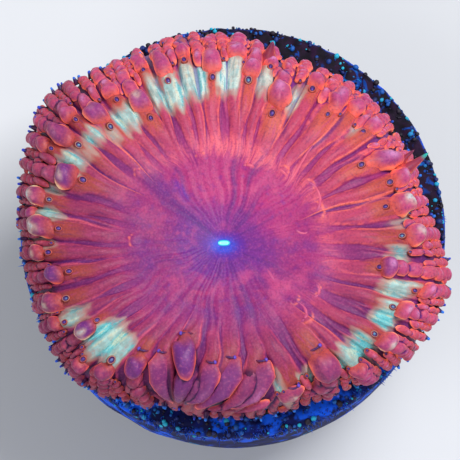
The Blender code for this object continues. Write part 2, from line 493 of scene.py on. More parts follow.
# Low pads on the disc, left by tentacles of an inner ring: bearing, distance from the mouth,
# length and width in mm.
PADS = (
    (72.0, 4.45, 0.7, 0.6),
    (50.5, 5.25, 0.9, 0.7),
    (34.5, 5.70, 1.0, 0.8),
    (19.5, 5.45, 1.2, 1.2),
    (318.5, 6.05, 1.2, 0.9),
    (322.0, 4.90, 0.9, 0.8),
    (334.0, 5.65, 0.9, 0.7),
    (178.0, 5.00, 0.9, 0.8),
    (140.5, 6.10, 1.0, 0.6),
    (105.0, 5.00, 0.8, 0.7),
)
PAD_HEIGHT = 0.15 * MM

# Short, narrow rows fill the gaps between the main ones at the rim. At the back, by bearing, they
# are wider. Between two bearings at the front, the brown run to each tentacle is fainter. All rows
# come to their place at the rim at RIM_SHARE of the reach, and wander by SWAY degrees on the disc.
MAIN_WIDTH = 0.86
SHORT_WIDTH = 0.54
WIDER = ((0, 0.0), (30, 0.4), (60, 1.0), (110, 1.0), (135, 0.0), (360, 0.0))
FAINT = (238, 292)
RIM_SHARE = 0.97
FOLD_HEIGHT = 0.38 * MM
SWAY = 1.3


def ease(value, low, high):
    """The smooth step: 0 below low, 1 above high, and 3t^2 - 2t^3 between them."""
    t = np.clip((value - low) / (high - low), 0, 1)
    return t * t * (3 - 2 * t)


def by_bearing(bearing, pairs):
    """The value at a bearing, straight between pairs of bearing and value."""
    return np.interp(np.mod(bearing, 360), *zip(*pairs))


def aside_of(bearing, middle):
    """How far a bearing lies from another one, -180 to 180 degrees."""
    return np.mod(bearing - middle + 180, 360) - 180


def between(a, b, c, d, t):
    """A Catmull-Rom curve at the share t of the way from knot b to knot c."""
    return b + 0.5 * t * (c - a + t * (2 * a - 5 * b + 4 * c - d + t * (3 * (b - c) + d - a)))


def reach(bearing):
    """The rim's distance from the mouth, by a closed Catmull-Rom curve through REACH."""
    place = np.mod(np.asarray(bearing, float), 360) / 10
    first = np.floor(place).astype(int)
    knots = (np.array(REACH)[(first + k) % len(REACH)] for k in (-1, 0, 1, 2))
    return between(*knots, place - first) * MM


def section(way):
    """Share of the reach, and height over the plug, at a share of the way from the mouth to the
    foot. A Catmull-Rom curve runs through SECTION, and equal steps of the way are equal lengths."""
    knots = np.array(SECTION)
    ends = np.concatenate([[2 * knots[0] - knots[1]], knots, [2 * knots[-1] - knots[-2]]])
    place = np.linspace(0, len(knots) - 1 - 1e-9, 1200)
    first = place.astype(int)
    curve = between(*(ends[first + k] for k in range(4)), (place - first)[:, None])
    steps = np.hypot(np.diff(curve[:, 0]) * USUAL_REACH, np.diff(curve[:, 1]))
    length = np.concatenate([[0], np.cumsum(steps)])
    length /= length[-1]
    return np.interp(way, length, curve[:, 0]), np.interp(way, length, curve[:, 1]) * MM


def way_at(share):
    """The way at which the section comes to a share of the reach, or else TOP_END."""
    ways = np.linspace(0, TOP_END, 700)
    return np.interp(share, section(ways)[0], ways)


def flesh(bearing, way):
    """The flesh's surface without its folds: the section carried round the mouth and scaled by the
    reach. The lower the surface, the further back it lies, so the polyp leans forward."""
    share, height = section(way)
    angle = np.radians(bearing)
    spread = reach(bearing) * share
    ahead = MOUTH[1] + spread * np.sin(angle) * SIDE_STRETCH + FORWARD_LEAN * (CROWN - height)
    return np.stack(
        np.broadcast_arrays(MOUTH[0] + spread * np.cos(angle), ahead, DISC_TOP + height), -1
    )


def outward(bearing, way):
    """The flesh's unit direction out of its surface, from its slopes along and across the row."""
    along = flesh(bearing, way + 0.002) - flesh(bearing, way - 0.002)
    across = flesh(bearing + 0.3, way) - flesh(bearing - 0.3, way)
    return unit(np.cross(along, across))


def records(names, values):
    """Rows of values as one array, with a field for each name."""
    return np.array(values, dtype=[(name, float) for name in names.split()])


leads = records(
    "inner outer start stop width pale violet lip rim bow flare",
    sorted([row + (row[1], 0.0, 0.0) for row in LEADS] + list(FRONT_LEADS)),
)
for name in ("start", "stop"):
    leads[name] *= MM / reach(leads["inner"])

rng = np.random.default_rng(7)
row_values = []
for lead, following in zip(leads, np.roll(leads, -1)):
    gaps = (following[name] - lead[name] for name in ("inner", "rim"))
    gap_in, gap_out = (np.mod(gap + 1, 360) - 1 for gap in gaps)
    gap = math.radians(gap_out) * reach(lead["rim"]) / MM
    wide = min(MAIN_WIDTH, 0.2 + 0.7 * lead["width"])
    row_values.append((*lead[["inner", "outer", "start", "stop", "rim"]], wide, lead["width"], 1.0))
    wider = 1 + 0.45 * by_bearing(lead["rim"], WIDER)
    extra = max(int(round((gap - MAIN_WIDTH) / (SHORT_WIDTH * wider))), 0)
    for k in range(extra):
        t = (k + 1) / (extra + 1)
        sway = rng.uniform(-0.5, 0.5, 2)
        wide = min((gap - 0.85 * MAIN_WIDTH) / extra, 0.66 * wider) * rng.uniform(0.85, 1.05)
        start = rng.uniform(0.83, 0.91)
        rim = lead["rim"] + gap_out * t + sway[1]
        inner = lead["inner"] + gap_in * t + sway[0]
        row_values.append((inner, 0.5 * (inner + rim), start, start + 0.03, rim, wide, wide, 0.0))
rows = records("inner outer start stop rim width lead_width main", row_values)


def row_bearing(row, share):
    """A row's bearing: steady up to its leading vesicle, then straight to that one's outer end and
    on to its place at the rim."""
    ends = (row["start"] - 0.05, row["stop"], max(RIM_SHARE, row["stop"] + 0.01))
    return np.interp(share, ends, (row["inner"], row["outer"], row["rim"]))


def folds(bearing, share):
    """How high the folds stand, 0 to 1, how brown the run to each tentacle is, and where each fold
    takes a painted highlight along one edge and painted shade beside it. Each row is an elliptic
    arch across its width, as wide in degrees all the way in from its leading vesicle, and the
    surface follows the highest arch at each point. On the disc the rows wander, and the painted
    highlight and shade make each seem to lean over one side."""
    crest, run, lit, shade = np.zeros((4, *np.broadcast_shapes(np.shape(bearing), np.shape(share))))
    draw = np.random.default_rng(8)
    for row in rows:
        sway = np.sin(math.tau * (1.6 * share + draw.uniform())) * (1 - ease(share, 0.6, 0.78))
        across = aside_of(bearing - row_bearing(row, share), SWAY * sway)
        at_lead = row["start"] * reach(row["inner"]) / MM
        inner_half = math.degrees(0.5 * row["lead_width"] / at_lead)
        outer_half = math.degrees(0.5 * row["width"] / reach(row["rim"]) * MM)
        past = ease(share, row["start"], row["start"] + 0.15)
        if row["main"]:
            half = inner_half * draw.uniform(0.80, 1.02) * (1 + 0.12 * ease(share, 0.5, 0.8))
            rise = ease(share, draw.uniform(0.26, 0.42), 0.60)
        else:
            half = inner_half * 0.42
            rise = ease(share, draw.uniform(0.4, 0.6), 0.8) * (0.45 + 0.5 * past)
        half = half + (outer_half - half) * past
        arch = np.clip(1 - (across / half) ** 2, 0, 1) ** 0.6 * rise
        brown = ease(share, row["start"] - draw.uniform(0.10, 0.30), row["start"] - 0.02)
        brown = brown * (1 - 0.7 * past) * (0.55 if FAINT[0] < row["inner"] < FAINT[1] else 1.0)
        run = np.where(arch > crest, row["main"] * brown, run)
        crest = np.maximum(crest, arch)
        inner = draw.uniform(0.30, 0.54)
        shown = ease(share, inner, inner + 0.2) * (1 - past) * draw.uniform(0.3, 1.0) * row["main"]
        aside = across / half * draw.choice((-1, 1))
        lit = np.maximum(lit, np.exp(-(((aside - 0.90) / 0.13) ** 2)) * shown)
        shade = np.maximum(shade, np.exp(-(((aside - 1.22) / 0.20) ** 2)) * shown)
    return crest, run, lit, shade


# The rings lie closest over the beaded shoulder. Under its widest ring the flesh keeps the folds
# and colours that it has there.
columns = np.linspace(0, 360, SKIN_COLUMNS, endpoint=False)
ways = np.concatenate(
    [np.linspace(1, 0.83, 14), np.linspace(0.82, 0.3, 62), np.linspace(0.29, 0.004, 26)]
)
bearings, steps = np.meshgrid(columns, ways)
shares, heights = section(steps)
over = np.where(steps > ways[np.argmax(shares[:, 0])], shares.max(), shares)
crest, run, lit, shade = folds(bearings, over)

# The folds, fine streaks that wander a little on the disc, and a slight unevenness push the
# surface out.
skin = flesh(bearings, steps)
wander = 2.6 * ripple(skin, 2.6 * MM, 12) * ease(shares, 0.03, 0.2)
streak = np.radians(bearings + wander * (1 - ease(shares, 0.45, 0.65)))
spokes = np.stack([np.cos(streak), np.sin(streak), 0.25 * shares], -1)
depth = FOLD_HEIGHT * ease(shares, 0.3, 0.8) * ease(heights, 0.0, 1.5 * MM) * (crest - 0.55)
depth += 0.02 * MM * ripple(spokes, 0.09, 4) * ease(shares, 0.04, 0.3)

# Each pad is half an egg that rises outwards and ends in a crescent of painted highlight.
scar = np.zeros_like(shares)
for bearing, distance, length, wide in PADS:
    u = (shares * reach(bearings) / MM - distance) / (length / 2)
    v = np.radians(aside_of(bearings, bearing)) * distance / (wide / 2)
    off = np.hypot(u, v)
    depth += PAD_HEIGHT * np.sqrt(np.clip(1 - off**2, 0, 1)) * (0.45 + 0.55 * u)
    scar = np.maximum(scar, np.exp(-(((off - 0.96) / 0.16) ** 2)) * ease(u, 0.0, 0.9))
depth += 0.05 * MM * ripple(skin, 2.6 * MM, 5) * ease(shares, 0.1, 0.4)
skin = skin + outward(bearings, steps) * depth[..., None]

# The green patches fray a little along the folds. They fade out over 0.4 mm at their sides and
# over 1.5 mm at their ends.
patch = np.zeros_like(shares)
radial = over * reach(bearings) / MM
frayed = 0.18 * ripple(spokes, 0.045, 6) + 0.08 * ripple(skin, 1.3 * MM, 9)
frayed += 0.06 * ripple(skin, 0.5 * MM, 10)
for start, stop, near, far, strength in GREEN_PATCHES:
    off = np.abs(aside_of(bearings, (start + stop) / 2))
    inside = ease((stop - start) / 2 + 0.8 - off + 2 * frayed, 0.0, 2.4)
    inside *= ease(radial + frayed, near - 0.7, near + 0.8) * ease(far - radial + frayed, -0.5, 0.8)
    patch = np.maximum(patch, inside * strength)

# By bearing, the flesh is rosiest and painted lightest at the back and the right, duskiest and
# painted darkest at the left and the front: partly its own tint, partly painted light.
ROSY_AND_LIT = (
    (0, 0.55), (30, 0.80), (60, 1.0), (90, 0.95), (115, 0.8), (140, 0.45), (165, 0.2), (200, 0.1),
    (235, 0.05), (270, 0.15), (300, 0.3), (330, 0.45), (360, 0.55),
)


def rosiness_and_light(bearing, points):
    """How rosy and how brightly painted the flesh is, 0 to 1: by bearing, and drifting over
    some 5 mm.
    """
    return np.clip(by_bearing(bearing, ROSY_AND_LIT) + 0.12 * ripple(points, 5 * MM, 11), 0, 1)


# The centre of the disc is blue, in a halo that is wider than it is deep. Faint streaks of the same
# pigment lie on the disc: where their middle is from the mouth, half their length and width in mm,
# their lean in degrees, and their strength.
LILAC_STREAKS = (
    (-2.45, 3.15, 1.1, 0.35, -58.0, 0.50), (-3.5, 3.6, 0.5, 0.5, 0.0, 0.25),
    (-1.6, 5.2, 0.9, 0.4, 60.0, 0.22), (5.6, 1.7, 0.5, 0.25, 70.0, 0.22),
    (3.2, -5.6, 0.6, 0.35, -50.0, 0.2), (-5.6, -1.2, 0.8, 0.35, 100.0, 0.22),
    (-2.1, -6.3, 0.35, 1.3, 0.0, 0.28), (6.9, 0.1, 2.0, 0.35, 3.0, 0.30),
    (1.2, -6.6, 0.3, 1.0, 0.0, 0.25),
)
aside, ahead = np.moveaxis((skin[..., :2] - MOUTH) / MM, -1, 0)
halo = np.exp(-((aside / 1.05) ** 2) - ((ahead / 0.72) ** 2))
for x, y, long, wide, lean, strength in LILAC_STREAKS:
    c, s = math.cos(np.radians(lean)), math.sin(np.radians(lean))
    u = ((aside - x) * c + (ahead - y) * s) / long
    v = ((ahead - y) * c - (aside - x) * s) / wide
    halo = np.maximum(halo, strength * np.exp(-(u**2) - v**2) * (0.7 + 0.6 * frayed))

# Living tissue: moist, slightly translucent and satin. Its red and orange fluorescent pigments sit
# on the folds, violet in the furrows and around the mouth, and green in patches near the vesicles.
# Over these pigments lie painted glow and highlights on the folds, and painted shade beside them.
TISSUE_IOR = 1.38
flesh_finish, tree, on = start_finish(
    "living_polyp_tissue",
    {
        "Roughness": 0.42, "IOR": TISSUE_IOR, "Specular IOR Level": 0.25,
        "Subsurface Weight": 0.12, "Subsurface Radius": (1.0, 0.35, 0.35),
        "Subsurface Scale": 0.35 * MM,
    },
    *"crest share patch run low press rosy halo scar lit shade".split(),
)
spoke = add_node(tree, "Attribute", {}, "Vector", attribute_name="spoke")
place = add_node(tree, "TexCoord", {}, "Object")
fine, star_shade, grain, fleck, cloud = (
    add_node(tree, "TexNoise", {"Vector": vector, "Scale": scale, "Detail": detail})
    for vector, scale, detail in (
        (spoke, 42.0, 3.0), (spoke, 5.5, 3.0),
        (place, 8000.0, 3.0), (place, 2300.0, 3.0), (place, 520.0, 4.0),
    )
)

# The disc, from the mouth out, and its rose-pink ledge where the folds begin, brighter where the
# flesh is painted lighter.
disc = lay(
    "#4c34b0",
    ("#562ca4", on.share, 0.03, 0.07),
    ("#6a2884", on.share, 0.06, 0.13),
    ("#8a2a6c", on.share, 0.13, 0.34),
    ("#b83674", on.rosy, 0.1, 1.0, 0.75),
    ("#cc4c74", fleck, 0.54, 0.70, 0.34),
    ("#5e2c8c", fleck, 0.46, 0.30, 0.34),
    ("#6c2a86", on.share, 0.26, 0.08, 0.75),
    # Painted shade: dark star arms, for shallow valleys that run out from the mouth.
    ("#522274", star_shade, 0.46, 0.68, 0.62),
    ("#c44a7c", cloud, 0.52, 0.70, 0.60),
    ("#662a80", cloud, 0.47, 0.32, 0.50),
    ("#5a2a98", on.halo, 0.08, 0.42, 0.8),
    ("#3c50cc", on.halo, 0.34, 0.95),
)
ledge = lay("#000000", ("#ffffff", on.share, 0.33, 0.46), ("#000000", on.share, 0.46, 0.62))
for factor in (on.rosy, fine):
    ledge = add_node(tree, "Math", {0: ledge, 1: factor}, operation="MULTIPLY")

# The folds: furrow, edge, back, and the brown run in front of each tentacle. The purple furrows
# and orange edges are partly pigment and partly painted shade and glow that bring out the relief.
furrow = lay(
    "#7a2c6a",
    ("#6c2460", on.share, 0.45, 0.7),
    ("#b03672", on.rosy, 0.35, 1.0, 0.55),
    # Out among the vesicles the furrows are painted dark: shade between them.
    (lay("#40184c", ("#7a3690", on.rosy, 0.2, 0.9)), on.share, 0.82, 0.92),
)
edge = lay("#ae3c60", ("#ee6864", on.rosy, 0.1, 0.9), (furrow, fleck, 0.36, 0.70, 0.8))
back = lay("#8e3258", ("#b84462", on.rosy, 0.1, 0.9), ("#a43c40", on.share, 0.80, 0.95, 0.7))
fold = lay(furrow, (edge, on.crest, 0.05, 0.50, 0.85), (back, on.crest, 0.46, 0.85))
amber = lay("#a04634", ("#c85a42", on.rosy, 0.3, 1.0))
streaked = add_node(tree, "Math", {0: on.run, 1: fine}, operation="MULTIPLY")
amber = lay(fold, (amber, streaked, 0.06, 0.54, 0.86))
fold = lay(fold, (amber, on.crest, 0.35, 0.85))

# Fine streaks and the gaps between them fade in away from the mouth.
spread = lay("#000000", ("#ffffff", on.share, 0.15, 0.60))
hair = add_node(tree, "Math", {0: fine, 1: spread}, operation="MULTIPLY")
gap = add_node(tree, "Math", {0: 1.0, 1: fine}, operation="SUBTRACT")
gap = add_node(tree, "Math", {0: gap, 1: spread}, operation="MULTIPLY")

# The green patches, striped along the folds, with their cream fringe and bluish painted shade in
# the furrows.
white = add_node(tree, "Math", {0: fine, 1: on.rosy}, operation="MULTIPLY")
green = lay(
    "#2a98a4",
    ("#70c6ca", on.patch, 0.35, 0.95),
    ("#dce8e4", white, 0.20, 0.54, 0.75),
    ("#38a0ac", gap, 0.48, 0.62, 0.60),
    ("#e8d6a8", hair, 0.50, 0.64, 0.50),
    ("#2b8f9a", grain, 0.50, 0.66, 0.45),
    (lay("#b89c84", ("#c8d0c4", fleck, 0.4, 0.6)), on.crest, 0.55, 0.90, 0.42),
)
green_furrow_shade = lay(green, ("#6c74a8", on.rosy, 0.6, 0.95))
green = lay(green_furrow_shade, (green, on.crest, 0.0, 0.30))
mask = add_node(tree, "Math", {0: fine, 1: grain}, operation="ADD")
mask = add_node(tree, "Math", {0: mask, 1: on.patch}, operation="MULTIPLY")

# All of it, then each fold's painted highlight with painted shade beside it, mottling, the pads'
# painted highlight crescents, and painted shade in the creases and on the underside.
tissue = lay(
    disc,
    (fold, on.share, 0.33, 0.62),
    ("#f07078", ledge, 0.22, 0.62, 0.65),
    ("#5a2060", hair, 0.50, 0.72, 0.40),
    ("#c44c80", gap, 0.54, 0.70, 0.25),
    # Painted shade beside each fold's edge, then a painted highlight along the edge.
    ("#54246c", on.shade, 0.1, 0.9, 0.70),
    (lay("#cc5070", ("#f87c68", on.rosy, 0.0, 0.7)), on.lit, 0.08, 0.75, 0.72),
    ("#641e56", grain, 0.50, 0.68, 0.34),
    ("#d0608c", grain, 0.48, 0.34, 0.14),
    ("#b4948a", mask, 0.06, 0.34, 0.65),
    (green, mask, 0.26, 0.88, 0.94),
    ("#f07468", on.scar, 0.2, 0.9, 0.66),
    # Painted shade: round the vesicles, and low down under the bulge.
    (lay("#34123e", ("#66287e", on.rosy, 0.2, 0.9)), on.press, 0.2, 1.0, 0.85),
    ("#240c34", on.low, 0.2, 1.0),
)
feed("Base Color", tissue)
relief = add_node(tree, "Bump", {"Height": grain, "Strength": 0.4, "Distance": 0.05 * MM})
for height, rise in ((hair, 0.05 * MM), (on.lit, 0.08 * MM)):
    ridge = {"Height": height, "Strength": 0.6, "Distance": rise, "Normal": relief}
    relief = add_node(tree, "Bump", ridge)
feed("Normal", relief)

polyp = build(
    "polyp_flesh",
    skin[None],
    flesh_finish,
    root=[(*skin[0].mean(axis=0)[:2], DISC_TOP)],
    tip=[skin[-1].mean(axis=0)],
    crest=crest,
    run=run,
    share=over,
    patch=patch,
    low=1 - ease(heights, 0.4 * MM, 2.1 * MM),
    rosy=rosiness_and_light(bearings, skin),
    halo=halo,
    scar=scar,
    lit=lit,
    shade=shade,
    spoke=spokes[None],
)
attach(polyp, "root")
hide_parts("coral_polyp")

# ---- The vesicles ----
# Bubbles of flesh, swollen with water, in a row on each fold. The leading one is the largest, and
# each one bulges over the next. At the front they are long folds. All are one tissue with the
# flesh.

# LEAD_HEIGHT is a leading vesicle's height in mm, from its middle, where it is 1 mm wide. The fold
# is bare for a sleeve's length in front of it. A front fold hangs on past its end by DRAPE, or by a
# tenth of it past the bearing DRAPED_TO. Beads are RIM_BEAD_WIDTH, in mm, by the time they reach
# the rim.
LEAD_HEIGHT = 0.56
LEAD_LIFT = 0.12 * MM
LEAD_TILT = 0.30
LEAD_SHARE = 0.972
SLEEVE = 0.36 * MM
FRONT_HEIGHT = 0.30 * MM
FRONT_ROLL = 0.62
FRONT_WIDTH = 1.15 * MM
DRAPE = 0.7 * MM
DRAPED_TO = 262
BEAD_LIFT = 0.03 * MM
BEAD_SHARE = 0.985
RIM_BEAD_WIDTH = 0.71
LONGEST_BEAD = 1.3 * MM
LAST_WAY = 0.80
SQUARENESS = 0.90

# The rings of a vesicle, from its foot up, by their angle from the crown.
LEAD_POLAR = np.radians([122, 108, 96, 85, 75, 65, 54, 42, 29, 14])
BEAD_POLAR = np.radians([110, 88, 68, 46, 22])
BOTTOM_POLAR = np.radians([150])

# Between these bearings the rows end at the front folds, and small beads go on below them, from
# one way to another in equal steps.
BARE_FRONT = (247, 293)
UNDER_FOLDS = (0.80, 0.88, 0.031)

# How loosely the vesicles sit in their rows, by bearing: 0 is neat.
LOOSE = (
    (0, 0.2), (20, 0.4), (45, 0.9), (85, 1.0), (110, 0.8), (130, 0.4), (150, 0.15), (200, 0.1),
    (235, 0.3), (300, 0.3), (322, 0.15), (345, 0.1), (360, 0.2),
)

# How long the trailing vesicles are in mm, by bearing: beads at the right and the back, long
# ridges at the upper left, lobes at the front.
BEAD_LENGTH = (
    (0, 0.80), (30, 0.82), (60, 0.92), (85, 1.0), (112, 0.95), (130, 1.0), (150, 1.25),
    (168, 1.1), (190, 1.05), (205, 1.0), (240, 1.0), (262, 1.2), (292, 1.0), (322, 0.86),
    (345, 0.8), (360, 0.8),
)

# Lobes that lie under the front folds: inner and outer bearing, start and end in mm, width in mm,
# how violet, how far it bows in degrees, and how it widens outwards.
SHINGLES = (
    (245.6, 252.4, 7.9, 9.95, 0.7, 0.5, -1.5, -0.35),
    (255.2, 254.4, 6.9, 9.95, 1.2, 0.7, -0.8, -0.42),
    (259.5, 256.0, 7.6, 9.95, 0.75, 0.5, 1.2, -0.35),
    (280.6, 266.8, 7.3, 9.95, 1.0, 0.4, 3.6, -0.4),
    (274.8, 264.2, 8.95, 9.9, 0.62, 0.1, 1.5, -0.4),
    (277.5, 265.0, 9.4, 10.05, 0.55, 0.0, 1.0, -0.4),
    (285.9, 273.3, 9.25, 10.1, 0.8, 0.2, 1.5, -0.4),
    (281.0, 273.0, 8.2, 9.3, 0.7, 0.0, 1.0, -0.3),
    (302.0, 298.0, 9.7, 10.5, 0.8, 0.0, 1.0, -0.3),
    (305.8, 303.5, 9.5, 10.6, 1.3, 0.1, 0.0, 0.0),
)

LOBE_NAMES = (
    "bearing way slant half_way half_width height lift tilt roll bow flare leading warm pale violet"
)
lobe_values = []


def add_lobe(*first, **more):
    """Lists a lobe: its values up to its tilt in order, then those that aren't 0 by name."""
    others = LOBE_NAMES.split()[len(first) :]
    lobe_values.append((*first, *(more.get(name, 0.0) for name in others)))


def spine(lobe, x):
    """The bearing of a lobe's middle line, x halves of its length out from its centre."""
    return lobe["bearing"] + lobe["slant"] * x + lobe["bow"] * (1 - x * x)


def lobe_frame(lobe, bearing, way, height):
    """Where points near a lobe lie in its own measure: along, across and up from -1 to 1."""
    x = (way - lobe["way"]) / lobe["half_way"]
    arc = np.radians(aside_of(bearing, spine(lobe, x))) * reach(bearing) * section(way)[0]
    y = arc / (lobe["half_width"] * np.clip(1 + lobe["flare"] * x, 0.2, 2))
    return x, y, (height - lobe["lift"]) / lobe["height"] - lobe["tilt"] * x - lobe["roll"] * y


def squared(turn, power):
    """The cosine and sine of each turn, raised to a power with their signs kept. A power under 1
    makes the circle that they draw squarer."""
    return (np.sign(v) * np.abs(v) ** power for v in (np.cos(turn), np.sin(turn)))


def lobe_surface(lobes, polar, turn):
    """Points on each lobe: along and across it, then as bearing, way and height over the flesh, and
    in space. A lobe is a squashed ball laid over the flesh: it follows the flesh's curve along its
    row, and may slant, bow sideways, widen, and tilt up at its outer end or one side."""
    lobe = lobes[:, None, None]
    x, y = (v * np.sin(polar)[:, None] for v in squared(turn, SQUARENESS))
    z = np.cos(polar)[:, None] * np.ones_like(turn)
    way = np.clip(lobe["way"] + lobe["half_way"] * x, 0.01, 0.99)
    middle = spine(lobe, x)
    wide = lobe["half_width"] * (1 + lobe["flare"] * x)
    bearing = middle + np.degrees(y * wide / (reach(middle) * section(way)[0]))
    height = lobe["lift"] + lobe["height"] * (z + lobe["tilt"] * x + lobe["roll"] * y)
    points = flesh(bearing, way) + outward(bearing, way) * height[..., None]
    return x, y, bearing, way, height, points


for lead in leads:
    way, stop = (way_at(min(lead[name], LEAD_SHARE)) for name in ("start", "stop"))
    wide = lead["width"] * MM
    height = LEAD_HEIGHT * MM * lead["width"] ** 0.8
    cleftward, roll, flare = 0.0, 0.0, lead["flare"]
    if lead["bow"]:
        roll, height = math.copysign(FRONT_ROLL, lead["bow"]), FRONT_HEIGHT
        cleftward = math.degrees((wide - FRONT_WIDTH) / 2 / (0.8 * reach(lead["inner"])))
        cleftward = -math.copysign(cleftward, lead["bow"])
        stop += DRAPE * (1.0 if lead["inner"] < DRAPED_TO else 0.1) / SECTION_LENGTH
    else:
        flare = flare + 0.06
        if not lead["violet"] > 0.9:
            way = min(way + SLEEVE / SECTION_LENGTH, stop - 0.85 * wide / SECTION_LENGTH)
    add_lobe(
        (lead["inner"] + lead["outer"]) / 2 + cleftward, (way + stop) / 2,
        (lead["outer"] - lead["inner"]) / 2, (stop - way) / 2 * 1.02, wide / 2, height, LEAD_LIFT,
        LEAD_TILT, roll=roll, bow=lead["bow"], flare=flare, leading=1.0, warm=rng.uniform(0, 0.5),
        pale=lead["pale"], violet=lead["violet"],
    )
for inner, outer, start, stop, wide, violet, bow, flare in SHINGLES:
    way, stop = (way_at(distance * MM / reach(inner)) for distance in (start, stop))
    stop += 0.8 * DRAPE / SECTION_LENGTH
    add_lobe(
        (inner + outer) / 2, (way + stop) / 2, (outer - inner) / 2, (stop - way) / 2, wide / 2 * MM,
        0.34 * wide * MM, 0.04 * MM, 0.15, roll=math.copysign(0.3, bow), bow=bow, flare=flare,
        warm=0.3, violet=violet,
    )
bare = (rows["rim"] > BARE_FRONT[0]) & (rows["rim"] < BARE_FRONT[1])
for row in rows[~bare]:
    share = first = row["stop"] if row["main"] else row["start"]
    way = way_at(share) - (0.010 if row["main"] else 0)
    shrink = 1.0 if row["main"] else 0.8 - 0.1 * by_bearing(row["rim"], LOOSE)
    while way < LAST_WAY:
        bearing = row_bearing(row, share)
        length = by_bearing(bearing, BEAD_LENGTH) * MM * shrink * rng.uniform(0.75, 1.25)
        following = way_at(min(share + length / reach(bearing), BEAD_SHARE))
        following = max(following, way + 0.6 * length / SECTION_LENGTH)
        following = min(following, way + LONGEST_BEAD / SECTION_LENGTH)
        middle = (way + following) / 2
        share = section(following)[0]
        bearing = row_bearing(row, section(middle)[0])
        progress = np.clip((share - first) / max(BEAD_SHARE - first, 0.02), 0, 1)
        loose = by_bearing(bearing, LOOSE)
        if row["main"]:
            wide = 0.92 * row["lead_width"]
            wide = wide + (RIM_BEAD_WIDTH - wide) * progress ** 0.7
        else:
            wide = row["width"] * rng.uniform(0.70, 0.92)
        wide *= (1 + rng.uniform(-1, 1) * (0.06 + 0.16 * loose) - 0.18 * loose) * MM
        sway = rng.uniform(-1, 1) * (0.03 + 0.12 * loose) * MM
        bearing += math.degrees(sway / reach(bearing))
        add_lobe(
            bearing, middle, rng.normal(0, 0.2 + 0.4 * loose),
            (following - way) / 2 * rng.uniform(1.1, 1.4), wide / 2,
            wide * rng.uniform(0.38, 0.50 + 0.12 * loose), BEAD_LIFT, rng.uniform(0.1, 0.5),
            roll=rng.uniform(-0.12, 0.12),
            flare=rng.uniform(-0.15, 0.15),
            warm=min(0.15 + 0.5 * progress + 0.4 * (1 - row["main"]), 1) * rng.uniform(0.6, 1.0),
            violet=rng.uniform(0, 0.25) * (1 - progress),
        )
        if row["main"] and rng.random() < 0.06 + 0.16 * loose:
            bearing += rng.choice((-1, 1)) * math.degrees(0.5 * wide / reach(bearing))
            small = rng.uniform(0.42, 0.62)
            add_lobe(
                bearing, following - 0.004, rng.normal(0, 0.5), (following - way) / 2 * small * 1.3,
                wide / 2 * small, wide * 0.40 * small, 0.07 * MM, 0.2, warm=rng.uniform(0.5, 1.0),
            )
        way = following

draw = np.random.default_rng(9)
for row in rows[bare]:
    for way in np.arange(*UNDER_FOLDS):
        wide = row["width"] * draw.uniform(0.75, 0.95) * MM
        add_lobe(
            row["rim"] + draw.uniform(-0.4, 0.4), way + draw.uniform(-0.003, 0.003),
            draw.normal(0, 0.2), 0.55 * UNDER_FOLDS[2] * draw.uniform(1.0, 1.35), wide / 2,
            wide * draw.uniform(0.34, 0.46), BEAD_LIFT, 0.2, flare=draw.uniform(-0.15, 0.15),
            warm=draw.uniform(0.3, 0.9),
        )
lobes = records(LOBE_NAMES, lobe_values)

# Where vesicles push against each other or the flesh, painted shade darkens the join between them.
NEIGHBOURS = 12
centres = flesh(lobes["bearing"], lobes["way"])
apart = np.linalg.norm(centres[:, None] - centres, axis=-1)
nearest = np.argsort(apart, axis=1)[:, 1 : NEIGHBOURS + 1]


def crease(nearest, bearing, way, height):
    """How much painted shade points take from the nearest other lobe: 1 on or in it, and 0 from a
    fifth of its half size away. Below its middle, a lobe counts as deeper than it is, so the shade
    spreads under it."""
    closest = np.full(bearing.shape, np.inf)
    for other in nearest.T:
        x, y, z = lobe_frame(lobes[other][:, None, None], bearing, way, height)
        z = np.where(z < 0, 0.4 * z, z)
        closest = np.minimum(closest, np.sqrt(x * x + y * y + z * z))
    return 1 - np.clip((closest - 0.98) / 0.20, 0, 1)


# The same living tissue, stretched thin: rose or violet on the crown with a painted lilac
# highlight, a painted orange glow round its edge that it also emits, orange-brown towards the
# mouth, pale where green pigment shows, and painted shade in its creases and underside.
vesicle_finish, tree, on = start_finish(
    "stretched_polyp_tissue",
    {
        "Roughness": 0.46, "IOR": TISSUE_IOR, "Specular IOR Level": 0.4,
        "Subsurface Weight": 0.15, "Subsurface Radius": (1.0, 0.4, 0.35),
        "Subsurface Scale": 0.3 * MM, "Emission Strength": 0.30,
    },
    *"limb ember inward warm pale violet crease rosy gleam".split(),
)
place = add_node(tree, "TexCoord", {}, "Object")
grain, cloud = (
    add_node(tree, "TexNoise", {"Vector": place, "Scale": scale, "Detail": detail})
    for scale, detail in ((6500.0, 2.0), (1800.0, 3.0))
)
